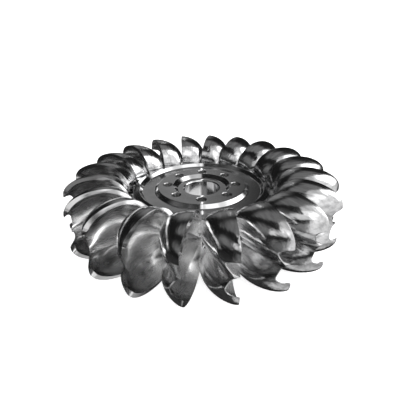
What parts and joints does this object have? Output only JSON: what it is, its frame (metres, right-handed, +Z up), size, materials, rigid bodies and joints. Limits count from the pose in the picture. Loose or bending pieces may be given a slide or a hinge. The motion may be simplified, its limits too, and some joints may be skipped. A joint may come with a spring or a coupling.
{
  "type": "pelton turbine runner",
  "caption": "Water turbine runner lying flat: a turned steel disc with a bolted hub face and central bore, ringed by cast double-cup buckets with notched tips.",
  "frame": {"origin": "on the floor under the runner's axis, at the centre of its footprint", "axes": "+Z up along the runner's axis of rotation; the buckets open anticlockwise seen from above"},
  "size_m": [1.0152, 1.0152, 0.268],
  "materials": {
    "turned_steel": "fine turned and polished",
    "cast_steel": "ground and polished"
  },
  "bodies": {
    "root": {"hub_disc": "turned_steel", "bucket_01": "cast_steel", "bucket_02": "cast_steel", "bucket_03": "cast_steel", "bucket_04": "cast_steel", "bucket_05": "cast_steel", "bucket_06": "cast_steel", "bucket_07": "cast_steel", "bucket_08": "cast_steel", "bucket_09": "cast_steel", "bucket_10": "cast_steel", "bucket_11": "cast_steel", "bucket_12": "cast_steel", "bucket_13": "cast_steel", "bucket_14": "cast_steel", "bucket_15": "cast_steel", "bucket_16": "cast_steel", "bucket_17": "cast_steel", "bucket_18": "cast_steel", "bucket_19": "cast_steel", "bucket_20": "cast_steel"}
  },
  "joints": []
}
